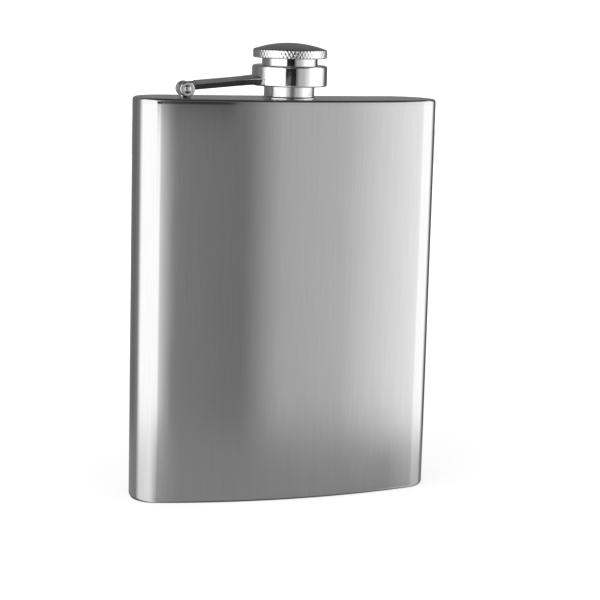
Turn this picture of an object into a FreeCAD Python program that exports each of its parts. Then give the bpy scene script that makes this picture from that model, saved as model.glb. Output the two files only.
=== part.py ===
import FreeCAD, Part
import math
import os

# Hip flask with a captive screw cap: a welded sheet vessel, a threaded neck, and a cap that turns
# in a collar at the end of a hinged arm.
# Frame: origin on the underside, on the axis of the neck.  +X runs along the width, away from the
# hinge, -Y is the convex front, +Z up.  All sizes are in millimetres.

# ---- vessel --------------------------------------------------------------------------------
WIDTH = 95.0                # across the rounded ends
DEPTH = 23.0                # front to back on the centre line
BODY_HEIGHT = 122.5         # underside to the top plate
FRONT_RISE = 6.2            # how far the front falls back from the centre to the ends
BACK_RISE = 3.0             # how far the hollow back comes out from the centre to the ends
FRONT_CORNER_RADIUS = 8.4
BACK_CORNER_RADIUS = 11.5
SHEET = 0.6                 # wall thickness of all the sheet pieces
BASE_ROUNDING = 1.8         # outer bend radius of the base pan
TOP_ROUNDING = 0.9          # outer bend radius of the lid
BASE_PAN_DEPTH = 2.6
TOP_PAN_DEPTH = 1.7

# ---- neck ----------------------------------------------------------------------------------
NECK_BORE_RADIUS = 6.0
NECK_RADIUS = 7.6           # smooth part that shows under the collar
NECK_RING_RADIUS = 8.1      # weld ring on the plate
NECK_RING_HEIGHT = 0.35
NECK_FLARE_HEIGHT = 0.9     # where the ring has blended into the smooth part
NECK_SPIGOT_RADIUS = 7.0    # through the plate
NECK_SPIGOT_DEPTH = 1.5     # below the top of the plate
NECK_THREAD_START = 3.9     # heights are above the plate
NECK_HEIGHT = 7.0
NECK_MOUTH_CHAMFER = 0.25
THREAD_PITCH = 1.5
NECK_ROOT_RADIUS = 6.65
NECK_CREST_RADIUS = 7.0
SKIRT_CREST_RADIUS = 7.55   # stands clear of the neck's crests, so that the arm can swing alone
SKIRT_ROOT_RADIUS = 7.95
THREAD_EMBED = 0.08         # how far a rib is sunk into its wall before they are joined

# ---- hinge ---------------------------------------------------------------------------------
PIN_X = -32.2
PIN_HEIGHT = 2.5
PIN_RADIUS = 0.75
PIN_RUNNING_GAP = 0.05      # in the knuckle's hole
PIN_HEAD_RADIUS = 1.05
PIN_HEAD_HEIGHT = 0.3
KNUCKLE_RADIUS = 1.8
KNUCKLE_WIDTH = 2.2
KNUCKLE_FOOT_LENGTH = 3.2

# ---- arm -----------------------------------------------------------------------------------
ARM_SLOPE = 5.4             # degrees that the bar rises towards the collar
ARM_EYE_RADIUS = 2.3
ARM_BOTTOM = -0.4           # underside of the bar, from the pin's axis
ARM_WIDTH = 6.6
ARM_EDGE_ROUNDING = 0.7     # along the two top edges
FORK_SLOT_WIDTH = 2.6
FORK_SLOT_END = 2.9         # centre of the pin to the end of the slot
SADDLE_HALF_WIDTH = 6.2     # where the bar spreads against the collar
SADDLE_START = 3.6          # length of the spread, outside the collar
LUG_LENGTH = 1.6            # deeper end of the bar, outside the collar

# ---- cap -----------------------------------------------------------------------------------
COLLAR_RADIUS = 11.35
COLLAR_BOTTOM = 3.7
COLLAR_TOP = 9.9
COLLAR_TOP_ROUNDING = 0.8
COLLAR_BOTTOM_CHAMFER = 0.4
COLLAR_BORE_RADIUS = 10.2
COLLAR_LIP = 1.1            # thickness of the lip that keeps the skirt in
SKIRT_RADIUS = 8.4
SKIRT_RUNNING_GAP = 0.1     # in the collar's lip
SKIRT_BOTTOM = 4.0
FLANGE_RADIUS = 9.9
FLANGE_THICKNESS = 1.0
CAP_BORE_RADIUS = 7.7       # takes the gasket and the knob's spigot
GASKET_RADIUS = 7.62
GASKET_THICKNESS = 0.9
GASKET_GAP = 0.05           # to the neck's rim below and the knob above
KNOB_RADIUS = 11.15
KNOB_BOTTOM = 12.0
KNOB_BAND_TOP = 14.6
KNOB_TOP = 16.5
KNOB_EDGE_CHAMFER = 0.25
KNOB_CORE_RADIUS = 5.6      # blind bore that lightens the knob
KNOB_CORE_TOP = 13.6

UP = FreeCAD.Vector(0, 0, 1)
CROSSWISE = FreeCAD.Vector(0, 1, 0)


def point(x, y, z=0.0):
    return FreeCAD.Vector(x, y, z)


def circle_through_rise(half_width, rise):
    """Radius of the arc that rises by `rise` over `half_width`, starting level."""
    return (half_width ** 2 + rise ** 2) / (2 * rise)


def vessel_outline(inset, z):
    """Closed wire of the vessel's section: every arc keeps its centre when it is set inwards."""
    half_width = WIDTH / 2
    front_radius = circle_through_rise(half_width, FRONT_RISE)
    back_radius = circle_through_rise(half_width, BACK_RISE)
    front_centre = point(0, front_radius - DEPTH / 2)
    back_centre = point(0, DEPTH / 2 + back_radius)
    front_corner_x = half_width - FRONT_CORNER_RADIUS
    back_corner_x = half_width - BACK_CORNER_RADIUS
    front_corner_y = front_centre.y - math.sqrt(
        (front_radius - FRONT_CORNER_RADIUS) ** 2 - front_corner_x ** 2)
    back_corner_y = back_centre.y - math.sqrt(
        (back_radius + BACK_CORNER_RADIUS) ** 2 - back_corner_x ** 2)
    side_x = half_width - inset

    def joint(centre, corner, radius):
        """Point where a face arc and a corner arc meet, on the line through their centres."""
        return centre + (corner - centre).normalize() * radius

    def bulge(corner, radius, start, end):
        """Middle point of a corner arc."""
        return corner + ((start - corner) + (end - corner)).normalize() * radius

    front_corner = point(front_corner_x, front_corner_y)
    back_corner = point(back_corner_x, back_corner_y)
    front_joint = joint(front_centre, front_corner, front_radius - inset)
    back_joint = joint(back_centre, back_corner, back_radius + inset)
    side_front = point(side_x, front_corner_y)
    side_back = point(side_x, back_corner_y)
    front_mid = bulge(front_corner, FRONT_CORNER_RADIUS - inset, front_joint, side_front)
    back_mid = bulge(back_corner, BACK_CORNER_RADIUS - inset, side_back, back_joint)
    front_centre_point = point(0, inset - DEPTH / 2)
    back_centre_point = point(0, DEPTH / 2 - inset)

    def mirror(p):
        return point(-p.x, p.y)

    edges = [
        Part.Arc(mirror(front_joint), front_centre_point, front_joint).toShape(),
        Part.Arc(front_joint, front_mid, side_front).toShape(),
        Part.LineSegment(side_front, side_back).toShape(),
        Part.Arc(side_back, back_mid, back_joint).toShape(),
        Part.Arc(back_joint, back_centre_point, mirror(back_joint)).toShape(),
        Part.Arc(mirror(back_joint), mirror(back_mid), mirror(side_back)).toShape(),
        Part.LineSegment(mirror(side_back), mirror(side_front)).toShape(),
        Part.Arc(mirror(side_front), mirror(front_mid), mirror(front_joint)).toShape(),
    ]
    wire = Part.Wire(edges)
    wire.translate(point(0, 0, z))
    return wire


def vessel_prism(inset, bottom, top):
    return Part.Face(vessel_outline(inset, bottom)).extrude(point(0, 0, top - bottom))


def edges_at_height(shape, z):
    """Edges that lie flat at one height."""
    tolerance = 1e-4
    return [edge for edge in shape.Edges
            if abs(edge.BoundBox.ZMin - z) < tolerance and abs(edge.BoundBox.ZMax - z) < tolerance]


def cylinder(radius, bottom, top):
    return Part.makeCylinder(radius, top - bottom, point(0, 0, bottom))


def plate_height(height_above_plate):
    return BODY_HEIGHT + height_above_plate


def turned(profile):
    """Solid turned about the neck's axis from (radius, height above the plate) points."""
    corners = [point(radius, 0, plate_height(height)) for radius, height in profile]
    face = Part.Face(Part.makePolygon(corners + [corners[0]]))
    return face.revolve(point(0, 0, 0), UP, 360)


def base_plate():
    outer = vessel_prism(0, 0, BASE_PAN_DEPTH)
    outer = outer.makeFillet(BASE_ROUNDING, edges_at_height(outer, 0))
    inner = vessel_prism(SHEET, SHEET, BASE_PAN_DEPTH + SHEET)
    inner = inner.makeFillet(BASE_ROUNDING - SHEET, edges_at_height(inner, SHEET))
    return outer.cut(inner)


def body_wrap():
    bottom = BASE_PAN_DEPTH
    top = BODY_HEIGHT - TOP_PAN_DEPTH
    return vessel_prism(0, bottom, top).cut(vessel_prism(SHEET, bottom, top))


def top_plate():
    bottom = BODY_HEIGHT - TOP_PAN_DEPTH
    under = BODY_HEIGHT - SHEET
    outer = vessel_prism(0, bottom, BODY_HEIGHT)
    outer = outer.makeFillet(TOP_ROUNDING, edges_at_height(outer, BODY_HEIGHT))
    inner = vessel_prism(SHEET, bottom - SHEET, under)
    inner = inner.makeFillet(TOP_ROUNDING - SHEET, edges_at_height(inner, under))
    return outer.cut(inner).cut(cylinder(NECK_SPIGOT_RADIUS, bottom, plate_height(SHEET)))


def thread_rib(root_radius, crest_radius, bottom, top):
    """One right-hand rib of triangular section that climbs by THREAD_PITCH each turn."""
    outward = 1 if crest_radius > root_radius else -1
    base_radius = root_radius - outward * THREAD_EMBED
    half_base = 0.42 * THREAD_PITCH
    length = top - bottom
    helix = Part.makeHelix(THREAD_PITCH, length, root_radius)
    helix.translate(point(0, 0, plate_height(bottom)))
    corners = [
        point(base_radius, 0, plate_height(bottom) - half_base),
        point(crest_radius, 0, plate_height(bottom) - half_base / 4),
        point(crest_radius, 0, plate_height(bottom) + half_base / 4),
        point(base_radius, 0, plate_height(bottom) + half_base),
    ]
    section = Part.makePolygon(corners + [corners[0]])
    rib = Part.Wire(helix.Edges).makePipeShell([section], True, True)
    ring = cylinder(max(root_radius, crest_radius) + 1, plate_height(bottom), plate_height(top))
    return rib.common(ring)


def neck():
    blank = turned([
        (NECK_BORE_RADIUS, -NECK_SPIGOT_DEPTH),
        (NECK_SPIGOT_RADIUS, -NECK_SPIGOT_DEPTH),
        (NECK_SPIGOT_RADIUS, 0),
        (NECK_RING_RADIUS, 0),
        (NECK_RING_RADIUS, NECK_RING_HEIGHT),
        (NECK_RADIUS, NECK_FLARE_HEIGHT),
        (NECK_RADIUS, NECK_THREAD_START - NECK_MOUTH_CHAMFER),
        (NECK_ROOT_RADIUS, NECK_THREAD_START),
        (NECK_ROOT_RADIUS, NECK_HEIGHT - NECK_MOUTH_CHAMFER),
        (NECK_ROOT_RADIUS - NECK_MOUTH_CHAMFER, NECK_HEIGHT),
        (NECK_BORE_RADIUS, NECK_HEIGHT),
    ])
    rib = thread_rib(NECK_ROOT_RADIUS, NECK_CREST_RADIUS,
                     NECK_THREAD_START + NECK_MOUTH_CHAMFER, NECK_HEIGHT - NECK_MOUTH_CHAMFER)
    return blank.fuse(rib)


def hinge_cylinder(radius, start, end):
    """Cylinder on the hinge axis between two distances from the middle of the hinge."""
    return Part.makeCylinder(radius, end - start,
                             point(PIN_X, start, plate_height(PIN_HEIGHT)), CROSSWISE)


def hinge_post():
    half_width = KNUCKLE_WIDTH / 2
    knuckle = hinge_cylinder(KNUCKLE_RADIUS, -half_width, half_width)
    foot = Part.makeBox(KNUCKLE_FOOT_LENGTH, KNUCKLE_WIDTH, PIN_HEIGHT,
                        point(PIN_X - KNUCKLE_FOOT_LENGTH / 2, -half_width, BODY_HEIGHT))
    hole = hinge_cylinder(PIN_RADIUS + PIN_RUNNING_GAP, -half_width, half_width)
    return knuckle.fuse(foot).removeSplitter().cut(hole)


def hinge_pin():
    half_length = ARM_WIDTH / 2
    shank = hinge_cylinder(PIN_RADIUS, -half_length, half_length)
    front_head = hinge_cylinder(PIN_HEAD_RADIUS, -half_length - PIN_HEAD_HEIGHT, -half_length)
    back_head = hinge_cylinder(PIN_HEAD_RADIUS, half_length, half_length + PIN_HEAD_HEIGHT)
    return shank.fuse([front_head, back_head])


def arm_point(along, above, y=0.0):
    """Point in the arm's own sloping directions, measured from the pin's axis."""
    slope = math.radians(ARM_SLOPE)
    return point(PIN_X + along * math.cos(slope) - above * math.sin(slope), y,
                 plate_height(PIN_HEIGHT + along * math.sin(slope) + above * math.cos(slope)))


def sloped_prism(corners, half_width):
    """Side view given by corner points, carried across the width of the arm."""
    across = point(0, half_width, 0)
    outline = [corner - across for corner in corners]
    return Part.Face(Part.makePolygon(outline + [outline[0]])).extrude(across * 2)


def arm_bar():
    """Straight bar with a round eye, its top edges rounded from end to end."""
    half_width = ARM_WIDTH / 2
    length = -PIN_X - COLLAR_RADIUS / 2
    bar = sloped_prism([arm_point(0, ARM_EYE_RADIUS), arm_point(length, ARM_EYE_RADIUS),
                        arm_point(length, ARM_BOTTOM), arm_point(0, ARM_BOTTOM)], half_width)
    bar = bar.fuse(hinge_cylinder(ARM_EYE_RADIUS, -half_width, half_width)).removeSplitter()
    top_middle = arm_point(length / 2, ARM_EYE_RADIUS)
    top_edges = [edge for edge in bar.Edges
                 if edge.Length > length / 2
                 and abs(edge.CenterOfMass.z - top_middle.z) < ARM_EDGE_ROUNDING]
    return bar.makeFillet(ARM_EDGE_ROUNDING, top_edges)


def arm_saddle():
    """Deeper end of the arm, which spreads in an arc on each side until it meets the collar."""
    half_width = ARM_WIDTH / 2
    saddle_x = -math.sqrt(COLLAR_RADIUS ** 2 - SADDLE_HALF_WIDTH ** 2)
    start_x = saddle_x - SADDLE_START
    spread = SADDLE_HALF_WIDTH - half_width
    radius = circle_through_rise(SADDLE_START, spread)
    half_turn = math.asin(SADDLE_START / radius) / 2
    mid_x = start_x + radius * math.sin(half_turn)
    mid_y = half_width + radius * (1 - math.cos(half_turn))
    floor = plate_height(COLLAR_BOTTOM)

    def side(sign):
        return Part.Arc(point(start_x, sign * half_width, floor), point(mid_x, sign * mid_y, floor),
                        point(saddle_x, sign * SADDLE_HALF_WIDTH, floor)).toShape()

    def across(x, width):
        return Part.LineSegment(point(x, -width, floor), point(x, width, floor)).toShape()

    plan = Part.Wire([side(-1), across(saddle_x, SADDLE_HALF_WIDTH), side(1),
                      across(start_x, half_width)])
    block = Part.Face(plan).extrude(point(0, 0, COLLAR_TOP - COLLAR_BOTTOM))
    reach = -PIN_X
    start = reach - COLLAR_RADIUS - 2 * SADDLE_START
    lug = reach - COLLAR_RADIUS - LUG_LENGTH
    side_view = sloped_prism([
        arm_point(start, ARM_EYE_RADIUS),
        arm_point(reach, ARM_EYE_RADIUS),
        point(0, 0, floor),
        point(arm_point(lug, 0).x + LUG_LENGTH / 2, 0, floor),
        arm_point(lug, ARM_BOTTOM),
        arm_point(start, ARM_BOTTOM),
    ], SADDLE_HALF_WIDTH)
    return block.common(side_view)


def cap_arm():
    slot_half = FORK_SLOT_WIDTH / 2
    arm = arm_bar().fuse(arm_saddle())
    arm = arm.cut(hinge_cylinder(FORK_SLOT_END, -slot_half, slot_half))
    arm = arm.cut(hinge_cylinder(PIN_RADIUS, -ARM_WIDTH, ARM_WIDTH))
    return arm.cut(cylinder(COLLAR_RADIUS, BODY_HEIGHT, plate_height(COLLAR_TOP)))


def cap_collar():
    lip_under = COLLAR_TOP - COLLAR_LIP
    hole_radius = SKIRT_RADIUS + SKIRT_RUNNING_GAP
    ring = turned([
        (COLLAR_BORE_RADIUS, COLLAR_BOTTOM),
        (COLLAR_RADIUS - COLLAR_BOTTOM_CHAMFER, COLLAR_BOTTOM),
        (COLLAR_RADIUS, COLLAR_BOTTOM + COLLAR_BOTTOM_CHAMFER),
        (COLLAR_RADIUS, COLLAR_TOP),
        (hole_radius, COLLAR_TOP),
        (hole_radius, lip_under),
        (COLLAR_BORE_RADIUS, lip_under),
    ])
    outer_top = [edge for edge in edges_at_height(ring, plate_height(COLLAR_TOP))
                 if edge.BoundBox.XMax > hole_radius + 1]
    return ring.makeFillet(COLLAR_TOP_ROUNDING, outer_top)


def cap_skirt():
    thread_top = NECK_HEIGHT + GASKET_GAP
    blank = turned([
        (SKIRT_ROOT_RADIUS, SKIRT_BOTTOM),
        (FLANGE_RADIUS, SKIRT_BOTTOM),
        (FLANGE_RADIUS, SKIRT_BOTTOM + FLANGE_THICKNESS),
        (SKIRT_RADIUS, SKIRT_BOTTOM + FLANGE_THICKNESS),
        (SKIRT_RADIUS, KNOB_BOTTOM),
        (CAP_BORE_RADIUS, KNOB_BOTTOM),
        (CAP_BORE_RADIUS, thread_top),
        (SKIRT_CREST_RADIUS, thread_top),
        (SKIRT_CREST_RADIUS, thread_top - NECK_MOUTH_CHAMFER),
        (SKIRT_ROOT_RADIUS, thread_top - NECK_MOUTH_CHAMFER),
    ])
    rib = thread_rib(SKIRT_ROOT_RADIUS, SKIRT_CREST_RADIUS,
                     SKIRT_BOTTOM, thread_top - NECK_MOUTH_CHAMFER)
    return blank.fuse(rib)


def gasket_bottom():
    return NECK_HEIGHT + 2 * GASKET_GAP


def cap_gasket():
    bottom = gasket_bottom()
    return cylinder(GASKET_RADIUS, plate_height(bottom), plate_height(bottom + GASKET_THICKNESS))


def cap_knob():
    spigot_bottom = gasket_bottom() + GASKET_THICKNESS + GASKET_GAP
    dome_edge = KNOB_RADIUS - KNOB_EDGE_CHAMFER
    dome_rise = KNOB_TOP - KNOB_BAND_TOP
    dome_radius = circle_through_rise(dome_edge, dome_rise)
    mid_radius = dome_edge / 2
    mid_height = KNOB_TOP - dome_radius + math.sqrt(dome_radius ** 2 - mid_radius ** 2)

    def corner(radius, height):
        return point(radius, 0, plate_height(height))

    side = [
        corner(0, KNOB_CORE_TOP),
        corner(KNOB_CORE_RADIUS, KNOB_CORE_TOP),
        corner(KNOB_CORE_RADIUS, spigot_bottom),
        corner(CAP_BORE_RADIUS, spigot_bottom),
        corner(CAP_BORE_RADIUS, KNOB_BOTTOM),
        corner(KNOB_RADIUS - KNOB_EDGE_CHAMFER, KNOB_BOTTOM),
        corner(KNOB_RADIUS, KNOB_BOTTOM + KNOB_EDGE_CHAMFER),
        corner(KNOB_RADIUS, KNOB_BAND_TOP - KNOB_EDGE_CHAMFER),
        corner(dome_edge, KNOB_BAND_TOP),
    ]
    dome = Part.Arc(corner(dome_edge, KNOB_BAND_TOP), corner(mid_radius, mid_height),
                    corner(0, KNOB_TOP)).toShape()
    axis_line = Part.LineSegment(corner(0, KNOB_TOP), corner(0, KNOB_CORE_TOP)).toShape()
    outline = Part.Wire(Part.makePolygon(side).Edges + [dome, axis_line])
    return Part.Face(outline).revolve(point(0, 0, 0), UP, 360)


NODES = {
    "body_wrap": body_wrap,
    "top_plate": top_plate,
    "base_plate": base_plate,
    "neck": neck,
    "hinge_post": hinge_post,
    "hinge_pin": hinge_pin,
    "cap_arm": cap_arm,
    "cap_collar": cap_collar,
    "cap_skirt": cap_skirt,
    "cap_gasket": cap_gasket,
    "cap_knob": cap_knob,
}

os.makedirs("parts", exist_ok=True)
for name, make in NODES.items():
    shape = make()
    print(f"{name}: {shape.ShapeType}, {len(shape.Solids)} solid, valid {shape.isValid()}, "
          f"{shape.Volume:.1f} mm3")
    shape.exportStep(f"parts/{name}.step")
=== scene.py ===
import math

import bmesh
import bpy
import numpy as np
from bpy.props import FloatProperty, FloatVectorProperty, PointerProperty
from mathutils import Matrix, Vector


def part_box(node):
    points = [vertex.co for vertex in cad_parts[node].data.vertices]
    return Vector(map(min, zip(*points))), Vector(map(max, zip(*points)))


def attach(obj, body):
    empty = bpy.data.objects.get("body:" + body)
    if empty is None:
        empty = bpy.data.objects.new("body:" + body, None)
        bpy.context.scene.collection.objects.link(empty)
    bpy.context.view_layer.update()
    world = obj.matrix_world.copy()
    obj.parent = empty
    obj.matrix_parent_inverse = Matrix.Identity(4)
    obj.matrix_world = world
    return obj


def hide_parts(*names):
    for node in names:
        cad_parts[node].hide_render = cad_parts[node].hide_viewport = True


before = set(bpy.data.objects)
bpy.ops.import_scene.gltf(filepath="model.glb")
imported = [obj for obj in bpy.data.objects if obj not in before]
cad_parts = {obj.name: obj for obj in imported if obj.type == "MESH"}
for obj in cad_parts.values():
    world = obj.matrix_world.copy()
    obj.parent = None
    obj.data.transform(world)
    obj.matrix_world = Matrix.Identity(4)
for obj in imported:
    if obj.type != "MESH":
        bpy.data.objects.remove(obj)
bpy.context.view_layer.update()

bl_info = {
    "name": "Hip flask with a captive cap",
    "version": (1, 0, 0),
    "blender": (4, 5, 0),
    "location": "View3D > Sidebar > Flask",
    "description": "Makes a welded steel flask, its neck, hinged arm, collar and screw cap, and a studio",
    "category": "Mesh",
}

MM = 0.001


def low_end(node):
    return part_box(node)[0]


def high_end(node):
    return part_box(node)[1]


PLATE = high_end("top_plate").z
PIN_X = (low_end("hinge_pin").x + high_end("hinge_pin").x) / 2
PIN_Z = (low_end("hinge_pin").z + high_end("hinge_pin").z) / 2


def linear(hex_colour):
    """Linear colour of an sRGB hex value, by the standard two-piece curve."""
    channels = [int(hex_colour[i:i + 2], 16) / 255 for i in (1, 3, 5)]
    return tuple(c / 12.92 if c <= 0.04045 else ((c + 0.055) / 1.055) ** 2.4 for c in channels)


def length(name, description, default):
    return FloatProperty(name=name, description=description, default=default, min=0.0,
                         unit="LENGTH", precision=5)


def height(name, description, default):
    return FloatProperty(name=name, description=description, default=default,
                         unit="LENGTH", precision=5)


def slant(name, description, degrees):
    return FloatProperty(name=name, description=description, default=math.radians(degrees),
                         subtype="ANGLE")


def colour(name, description, hex_colour):
    return FloatVectorProperty(name=name, description=description, subtype="COLOR", size=3,
                               min=0.0, max=1.0, default=linear(hex_colour))


# ---- sizes and colours a user would change ----

class VesselSizes(bpy.types.PropertyGroup):
    half_width: length("Half width", "Middle to the end of the vessel", high_end("body_wrap").x)
    half_depth: length("Half depth", "Middle to the front, on the centre line",
                       -low_end("body_wrap").y)
    front_rise: length("Front rise", "How far the front falls back towards the ends", 6.2 * MM)
    back_rise: length("Back rise", "How far the hollow back comes out towards the ends", 3.0 * MM)
    front_corner: length("Front corner", "Radius between the front and an end", 8.4 * MM)
    back_corner: length("Back corner", "Radius between an end and the back", 11.5 * MM)
    sheet: length("Sheet", "Wall thickness", 0.6 * MM)
    base_bend: length("Base bend", "Outer bend radius of the base pan", 1.2 * MM)
    lid_bend: length("Lid bend", "Outer bend radius of the lid", 0.9 * MM)
    wrap_bottom: height("Wrap bottom", "Lower weld", low_end("body_wrap").z)
    wrap_top: height("Wrap top", "Upper weld", high_end("body_wrap").z)
    plate: height("Plate", "Top face of the lid", PLATE)
    neck_hole: length("Neck hole", "Radius of the hole in the lid", 7.0 * MM)


class NeckSizes(bpy.types.PropertyGroup):
    bore: length("Bore", "Radius of the mouth", 6.0 * MM)
    outside: length("Outside", "Radius of the smooth part", 7.6 * MM)
    ring: length("Ring", "Radius of the weld ring", high_end("neck").x)
    bottom: height("Bottom", "Lower end, inside the vessel", low_end("neck").z)
    top: height("Top", "Rim of the mouth", high_end("neck").z)
    thread_start: length("Thread start", "Height of the thread's shoulder above the plate", 3.9 * MM)
    thread_root: length("Thread root", "Root radius of the thread", 6.65 * MM)
    thread_crest: length("Thread crest", "Crest radius of the thread", 7.0 * MM)
    pitch: length("Pitch", "Climb of both threads in one turn", 1.5 * MM)


class HingeSizes(bpy.types.PropertyGroup):
    eye: length("Eye", "Radius of the fork's eyes", 2.3 * MM)
    half_width: length("Half width", "Middle to the side of the arm", 3.3 * MM)
    half_slot: length("Half slot", "Middle to the inner side of a tine", 1.3 * MM)
    slot_end: length("Slot end", "Pin to the end of the slot", 2.9 * MM)
    underside: length("Underside", "Pin's axis down to the arm's underside", 0.4 * MM)
    crown: length("Crown", "Drop from the arm's ridge to its sides", 0.95 * MM)
    ridge: length("Ridge", "Half width of the arm's flat ridge", 0.6 * MM)
    lean: length("Lean", "How far each flank leans in at the bottom", 0.86 * MM)
    saddle: length("Saddle", "Half width of the arm where it meets the collar", 6.2 * MM)
    slope: slant("Slope", "Rise of the arm towards the collar", 5.4)
    knuckle: length("Knuckle", "Radius of the post's knuckle", 1.8 * MM)
    knuckle_half_width: length("Knuckle half width", "Middle to the side of the knuckle", 1.1 * MM)
    pin: length("Pin", "Radius of the pin's shank", 0.75 * MM)
    pin_head: length("Pin head", "Radius of the riveted heads", high_end("hinge_pin").x - PIN_X)
    pin_end: length("Pin end", "Middle to the end of the pin", high_end("hinge_pin").y)


class CapSizes(bpy.types.PropertyGroup):
    collar: length("Collar", "Outer radius of the collar", high_end("cap_collar").x)
    collar_bottom: height("Collar bottom", "Lower edge of the collar", low_end("cap_collar").z)
    collar_top: height("Collar top", "Upper edge of the collar", high_end("cap_collar").z)
    collar_bore: length("Collar bore", "Inner radius of the collar", 10.2 * MM)
    lip: length("Lip", "Thickness of the lip that holds the skirt", 1.1 * MM)
    lip_hole: length("Lip hole", "Radius of the hole in the lip", 8.5 * MM)
    skirt: length("Skirt", "Radius of the part that shows above the collar", 8.4 * MM)
    flange: length("Flange", "Radius of the skirt's flange", high_end("cap_skirt").x)
    skirt_bottom: height("Skirt bottom", "Lower edge of the skirt", low_end("cap_skirt").z)
    skirt_top: height("Skirt top", "Upper edge of the skirt", high_end("cap_skirt").z)
    skirt_bore: length("Skirt bore", "Bore that takes the gasket and the knob", 7.7 * MM)
    thread_root: length("Thread root", "Root radius of the cap's thread", 7.95 * MM)
    thread_crest: length("Thread crest", "Crest radius of the cap's thread", 7.55 * MM)
    knob: length("Knob", "Radius over the knurl", high_end("cap_knob").x)
    knob_bottom: height("Knob bottom", "Lower end of the knob's spigot", low_end("cap_knob").z)
    knob_top: height("Knob top", "Top of the dome", high_end("cap_knob").z)
    band: length("Band", "Height of the knurled band", 2.6 * MM)
    knurl_pitch: length("Knurl pitch", "Spacing of the knurl round the rim", 1.1 * MM)
    knurl_depth: length("Knurl depth", "Depth of the knurl's grooves", 0.1 * MM)


class Finishes(bpy.types.PropertyGroup):
    sheet: colour("Sheet steel", "Satin stainless sheet", "#C9C9C9")
    lid: colour("Lid steel", "Satin stainless lid", "#C6C6C6")
    polished: colour("Polished steel", "Mirror-polished turned stainless", "#D2D2D2")
    cast: colour("Cast steel", "Tumbled cast stainless", "#CACACA")
    knurled: colour("Knurl steel", "Turned and knurled stainless", "#D6D6D6")
    dome: colour("Dome steel", "Turned stainless of the knob's dome", "#969696")
    gasket: colour("Gasket", "Silicone rubber", "#D9D6CC")
    floor: colour("Floor", "Seamless studio paper", "#FFFFFF")


class StageSettings(bpy.types.PropertyGroup):
    turn: slant("Camera turn", "Camera's place round the flask, from the front", -17.6)
    tilt: slant("Camera tilt", "How far the camera looks down", 10.0)
    roll: slant("Camera roll", "How far the camera leans", 1.52)
    distance: length("Camera distance", "Camera to the middle of the vessel", 546 * MM)
    slide: height("Camera slide", "Camera's step to its right", 4.96 * MM)
    lift: height("Camera lift", "Camera's step upwards", 0.63 * MM)
    aim: height("Aim", "Height that the camera looks at", 60 * MM)
    focal: FloatProperty(name="Focal length", description="In millimetres, on a 36 mm sensor",
                         default=106.35, subtype="DISTANCE_CAMERA")
    strength: FloatProperty(name="Studio strength", description="Brightness of the studio's panels",
                            default=1.75, min=0.0)


# ---- mesh making ----

def add_object(name, data):
    made = bpy.data.objects.new(name, data)
    bpy.context.scene.collection.objects.link(made)
    return made


def turn_outwards(work):
    """Merges points that fall together, drops slivers and points every face outwards."""
    bmesh.ops.remove_doubles(work, verts=work.verts, dist=0.001 * MM)
    loose = [face for face in work.faces if face.calc_area() < 1e-14]
    bmesh.ops.delete(work, geom=loose, context="FACES_KEEP_BOUNDARY")
    bmesh.ops.recalc_face_normals(work, faces=work.faces)


def grid_faces(rows, columns, close_rows, first):
    """Quads of a grid whose columns close on themselves, and whose rows do if asked."""
    row = np.arange(rows if close_rows else rows - 1)[:, None]
    column = np.arange(columns)[None, :]
    next_row = (row + 1) % rows
    next_column = (column + 1) % columns
    quads = [row * columns + column, row * columns + next_column,
             next_row * columns + next_column, next_row * columns + column]
    return first + np.stack(quads, -1).reshape(-1, 4)


def piece(name, shells, body, nodes, material, crease=38.0):
    """Mesh object from shells, each a (grid of points, do its rows close) pair.

    Points that fall together are merged, which closes poles and slits; faces point outwards;
    edges sharper than the crease angle, in degrees, stay crisp.
    """
    points, faces, first = [], [], 0
    for grid, close_rows in shells:
        rows, columns = grid.shape[:2]
        points.append(grid.reshape(-1, 3))
        faces.append(grid_faces(rows, columns, close_rows, first))
        first += rows * columns
    mesh = bpy.data.meshes.new(name)
    mesh.from_pydata(np.concatenate(points).tolist(), [], np.concatenate(faces).tolist())
    work = bmesh.new()
    work.from_mesh(mesh)
    turn_outwards(work)
    work.to_mesh(mesh)
    work.free()
    mesh.shade_smooth()
    mesh.set_sharp_from_angle(angle=math.radians(crease))
    mesh.materials.append(material)
    made = add_object(name, mesh)
    shading = made.modifiers.new("even_shading", "WEIGHTED_NORMAL")
    shading.keep_sharp = True
    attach(made, body)
    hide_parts(*nodes)
    return made


def rounded(points, radii, steps=6):
    """Closed polygon with an arc at each corner.

    Each arc starts radius / tan(half the corner's angle) before the corner; its points turn
    evenly about the centre, which lies on the corner's bisector.
    """
    corners = np.asarray(points, float)
    radius = np.broadcast_to(np.asarray(radii, float), len(corners))[:, None]
    before = np.roll(corners, 1, 0) - corners
    after = np.roll(corners, -1, 0) - corners
    before /= np.linalg.norm(before, axis=1, keepdims=True)
    after /= np.linalg.norm(after, axis=1, keepdims=True)
    half = np.arccos(np.clip((before * after).sum(1, keepdims=True), -1, 1)) / 2
    start = corners + before * radius / np.tan(half)
    end = corners + after * radius / np.tan(half)
    bisector = before + after
    bisector /= np.linalg.norm(bisector, axis=1, keepdims=True)
    centre = corners + bisector * radius / np.sin(half)
    turn = (math.pi - 2 * half)[:, None]
    t = np.linspace(0, 1, steps)[None, :, None]
    arc = (np.sin((1 - t) * turn) * (start - centre)[:, None]
           + np.sin(t * turn) * (end - centre)[:, None]) / np.sin(turn)
    return (centre[:, None] + arc).reshape(-1, 2)


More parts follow.
